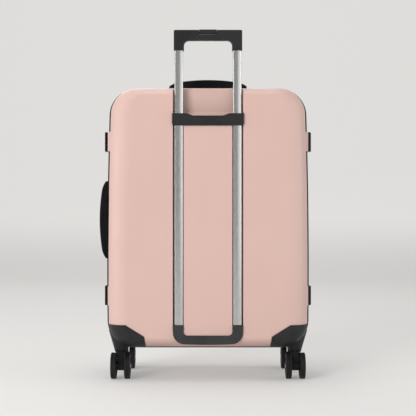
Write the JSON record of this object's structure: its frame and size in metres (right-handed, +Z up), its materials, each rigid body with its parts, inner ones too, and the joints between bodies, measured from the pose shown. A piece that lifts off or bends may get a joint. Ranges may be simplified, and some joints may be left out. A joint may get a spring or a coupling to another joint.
{
  "type": "hard shell suitcase",
  "caption": "Upright hard shell travel suitcase with telescopic trolley handle, twin-wheel swivel casters, framed clamshell halves, side latches, hinges and sprung carry handles.",
  "frame": {"origin": "on the floor, midway between the four casters, in the seam plane of the two halves", "axes": "+Z up; +Y towards the front half, away from the trolley; +X towards the hinges"},
  "size_m": [0.4857, 0.2679, 0.7749],
  "materials": {
    "shell": "satin",
    "frame": "satin",
    "seal": "matte",
    "lining": "matte",
    "straps": "matte",
    "black_plastic": "matte",
    "fittings": "satin",
    "tubes": "brushed",
    "steel": "plain",
    "soft_grip": "matte",
    "forks": "matte",
    "wheels": "matte"
  },
  "bodies": {
    "rear_case": {"rear_shell": "shell", "rear_frame": "frame", "frame_seal": "seal", "rear_lining": "lining", "skid_strip": "black_plastic", "wheel_housing_rear_left": "black_plastic", "wheel_housing_rear_right": "black_plastic", "trolley_bridge": "black_plastic", "trolley_base": "black_plastic", "outer_tube_left": "tubes", "outer_tube_right": "tubes", "trolley_screws": "steel", "top_handle_mounts": "black_plastic", "side_handle_mounts": "black_plastic", "hinge_leaf_rear_upper": "fittings", "hinge_leaf_rear_lower": "fittings", "hinge_pins": "steel", "latch_keeper_upper": "fittings", "latch_keeper_lower": "fittings", "packing_straps": "straps", "strap_buckle": "black_plastic"},
    "front_case": {"front_shell": "shell", "front_frame": "frame", "front_lining": "lining", "wheel_housing_front_left": "black_plastic", "wheel_housing_front_right": "black_plastic", "hinge_leaf_front_upper": "fittings", "hinge_leaf_front_lower": "fittings", "latch_base_upper": "fittings", "latch_base_lower": "fittings", "latch_pins": "steel"},
    "upper_latch": {"latch_lever_upper": "fittings"},
    "lower_latch": {"latch_lever_lower": "fittings"},
    "trolley": {"handle_grip": "black_plastic", "inner_tube_left": "tubes", "inner_tube_right": "tubes", "lock_plug_left": "black_plastic", "lock_plug_right": "black_plastic"},
    "release": {"release_button": "black_plastic", "release_rods": "tubes"},
    "left_lock_pin": {"lock_pin_left": "steel"},
    "right_lock_pin": {"lock_pin_right": "steel"},
    "top_handle": {"top_handle_grip": "soft_grip"},
    "side_handle": {"side_handle_grip": "soft_grip"},
    "caster_rear_left": {"caster_fork_rear_left": "forks", "caster_axle_rear_left": "steel"},
    "wheel_rear_left_outer_body": {"wheel_rear_left_outer": "wheels"},
    "wheel_rear_left_inner_body": {"wheel_rear_left_inner": "wheels"},
    "caster_rear_right": {"caster_fork_rear_right": "forks", "caster_axle_rear_right": "steel"},
    "wheel_rear_right_outer_body": {"wheel_rear_right_outer": "wheels"},
    "wheel_rear_right_inner_body": {"wheel_rear_right_inner": "wheels"},
    "caster_front_left": {"caster_fork_front_left": "forks", "caster_axle_front_left": "steel"},
    "wheel_front_left_outer_body": {"wheel_front_left_outer": "wheels"},
    "wheel_front_left_inner_body": {"wheel_front_left_inner": "wheels"},
    "caster_front_right": {"caster_fork_front_right": "forks", "caster_axle_front_right": "steel"},
    "wheel_front_right_outer_body": {"wheel_front_right_outer": "wheels"},
    "wheel_front_right_inner_body": {"wheel_front_right_inner": "wheels"}
  },
  "joints": [
    {"name": "lid_hinge", "type": "hinge", "parent": "rear_case", "child": "front_case", "pos_m": [0.236, 0, 0.35835], "axis": [0, 0, -1], "range_deg": [0, 180]},
    {"name": "upper_latch_hinge", "type": "hinge", "parent": "front_case", "child": "upper_latch", "pos_m": [-0.2355, 0.0155, 0.5353], "axis": [0, 0, -1], "range_deg": [0, 85]},
    {"name": "lower_latch_hinge", "type": "hinge", "parent": "front_case", "child": "lower_latch", "pos_m": [-0.2355, 0.0155, 0.1814], "axis": [0, 0, -1], "range_deg": [0, 85]},
    {"name": "trolley_slide", "type": "slide", "parent": "rear_case", "child": "trolley", "axis": [0, 0, 1], "range_m": [-0.138, 0.25]},
    {"name": "release_press", "type": "slide", "parent": "trolley", "child": "release", "axis": [0, 0, -1], "range_m": [0, 0.0025], "stiffness_N_per_m": 600, "springref_m": -0.003},
    {"name": "left_pin_slide", "type": "slide", "parent": "trolley", "child": "left_lock_pin", "axis": [1, 0, 0], "range_m": [0, 0.0016]},
    {"name": "right_pin_slide", "type": "slide", "parent": "trolley", "child": "right_lock_pin", "axis": [-1, 0, 0], "range_m": [0, 0.0016]},
    {"name": "top_handle_pull", "type": "slide", "parent": "rear_case", "child": "top_handle", "axis": [0, 0, 1], "range_m": [0, 0.018], "stiffness_N_per_m": 250, "springref_m": -0.002},
    {"name": "side_handle_pull", "type": "slide", "parent": "rear_case", "child": "side_handle", "axis": [-1, 0, 0], "range_m": [0, 0.018], "stiffness_N_per_m": 250, "springref_m": -0.002},
    {"name": "caster_rear_left_swivel", "type": "hinge", "parent": "rear_case", "child": "caster_rear_left", "pos_m": [-0.196, -0.067, 0.07], "axis": [0, 0, 1], "continuous": true},
    {"name": "wheel_rear_left_outer_spin", "type": "hinge", "parent": "caster_rear_left", "child": "wheel_rear_left_outer_body", "pos_m": [-0.2113, -0.08, 0.0293], "axis": [1, 0, 0], "continuous": true},
    {"name": "wheel_rear_left_inner_spin", "type": "hinge", "parent": "caster_rear_left", "child": "wheel_rear_left_inner_body", "pos_m": [-0.1807, -0.08, 0.0293], "axis": [1, 0, 0], "continuous": true},
    {"name": "caster_rear_right_swivel", "type": "hinge", "parent": "rear_case", "child": "caster_rear_right", "pos_m": [0.196, -0.067, 0.07], "axis": [0, 0, 1], "continuous": true},
    {"name": "wheel_rear_right_outer_spin", "type": "hinge", "parent": "caster_rear_right", "child": "wheel_rear_right_outer_body", "pos_m": [0.2113, -0.08, 0.0293], "axis": [1, 0, 0], "continuous": true},
    {"name": "wheel_rear_right_inner_spin", "type": "hinge", "parent": "caster_rear_right", "child": "wheel_rear_right_inner_body", "pos_m": [0.1807, -0.08, 0.0293], "axis": [1, 0, 0], "continuous": true},
    {"name": "caster_front_left_swivel", "type": "hinge", "parent": "front_case", "child": "caster_front_left", "pos_m": [-0.196, 0.0673, 0.07], "axis": [0, 0, 1], "continuous": true},
    {"name": "wheel_front_left_outer_spin", "type": "hinge", "parent": "caster_front_left", "child": "wheel_front_left_outer_body", "pos_m": [-0.2113, 0.0803, 0.0293], "axis": [1, 0, 0], "continuous": true},
    {"name": "wheel_front_left_inner_spin", "type": "hinge", "parent": "caster_front_left", "child": "wheel_front_left_inner_body", "pos_m": [-0.1807, 0.0803, 0.0293], "axis": [1, 0, 0], "continuous": true},
    {"name": "caster_front_right_swivel", "type": "hinge", "parent": "front_case", "child": "caster_front_right", "pos_m": [0.196, 0.0673, 0.07], "axis": [0, 0, 1], "continuous": true},
    {"name": "wheel_front_right_outer_spin", "type": "hinge", "parent": "caster_front_right", "child": "wheel_front_right_outer_body", "pos_m": [0.2113, 0.0803, 0.0293], "axis": [1, 0, 0], "continuous": true},
    {"name": "wheel_front_right_inner_spin", "type": "hinge", "parent": "caster_front_right", "child": "wheel_front_right_inner_body", "pos_m": [0.1807, 0.0803, 0.0293], "axis": [1, 0, 0], "continuous": true}
  ],
  "couplings": [
    {"joint": "left_pin_slide", "follows": "release_press", "ratio": 0.64},
    {"joint": "right_pin_slide", "follows": "release_press", "ratio": 0.64}
  ]
}
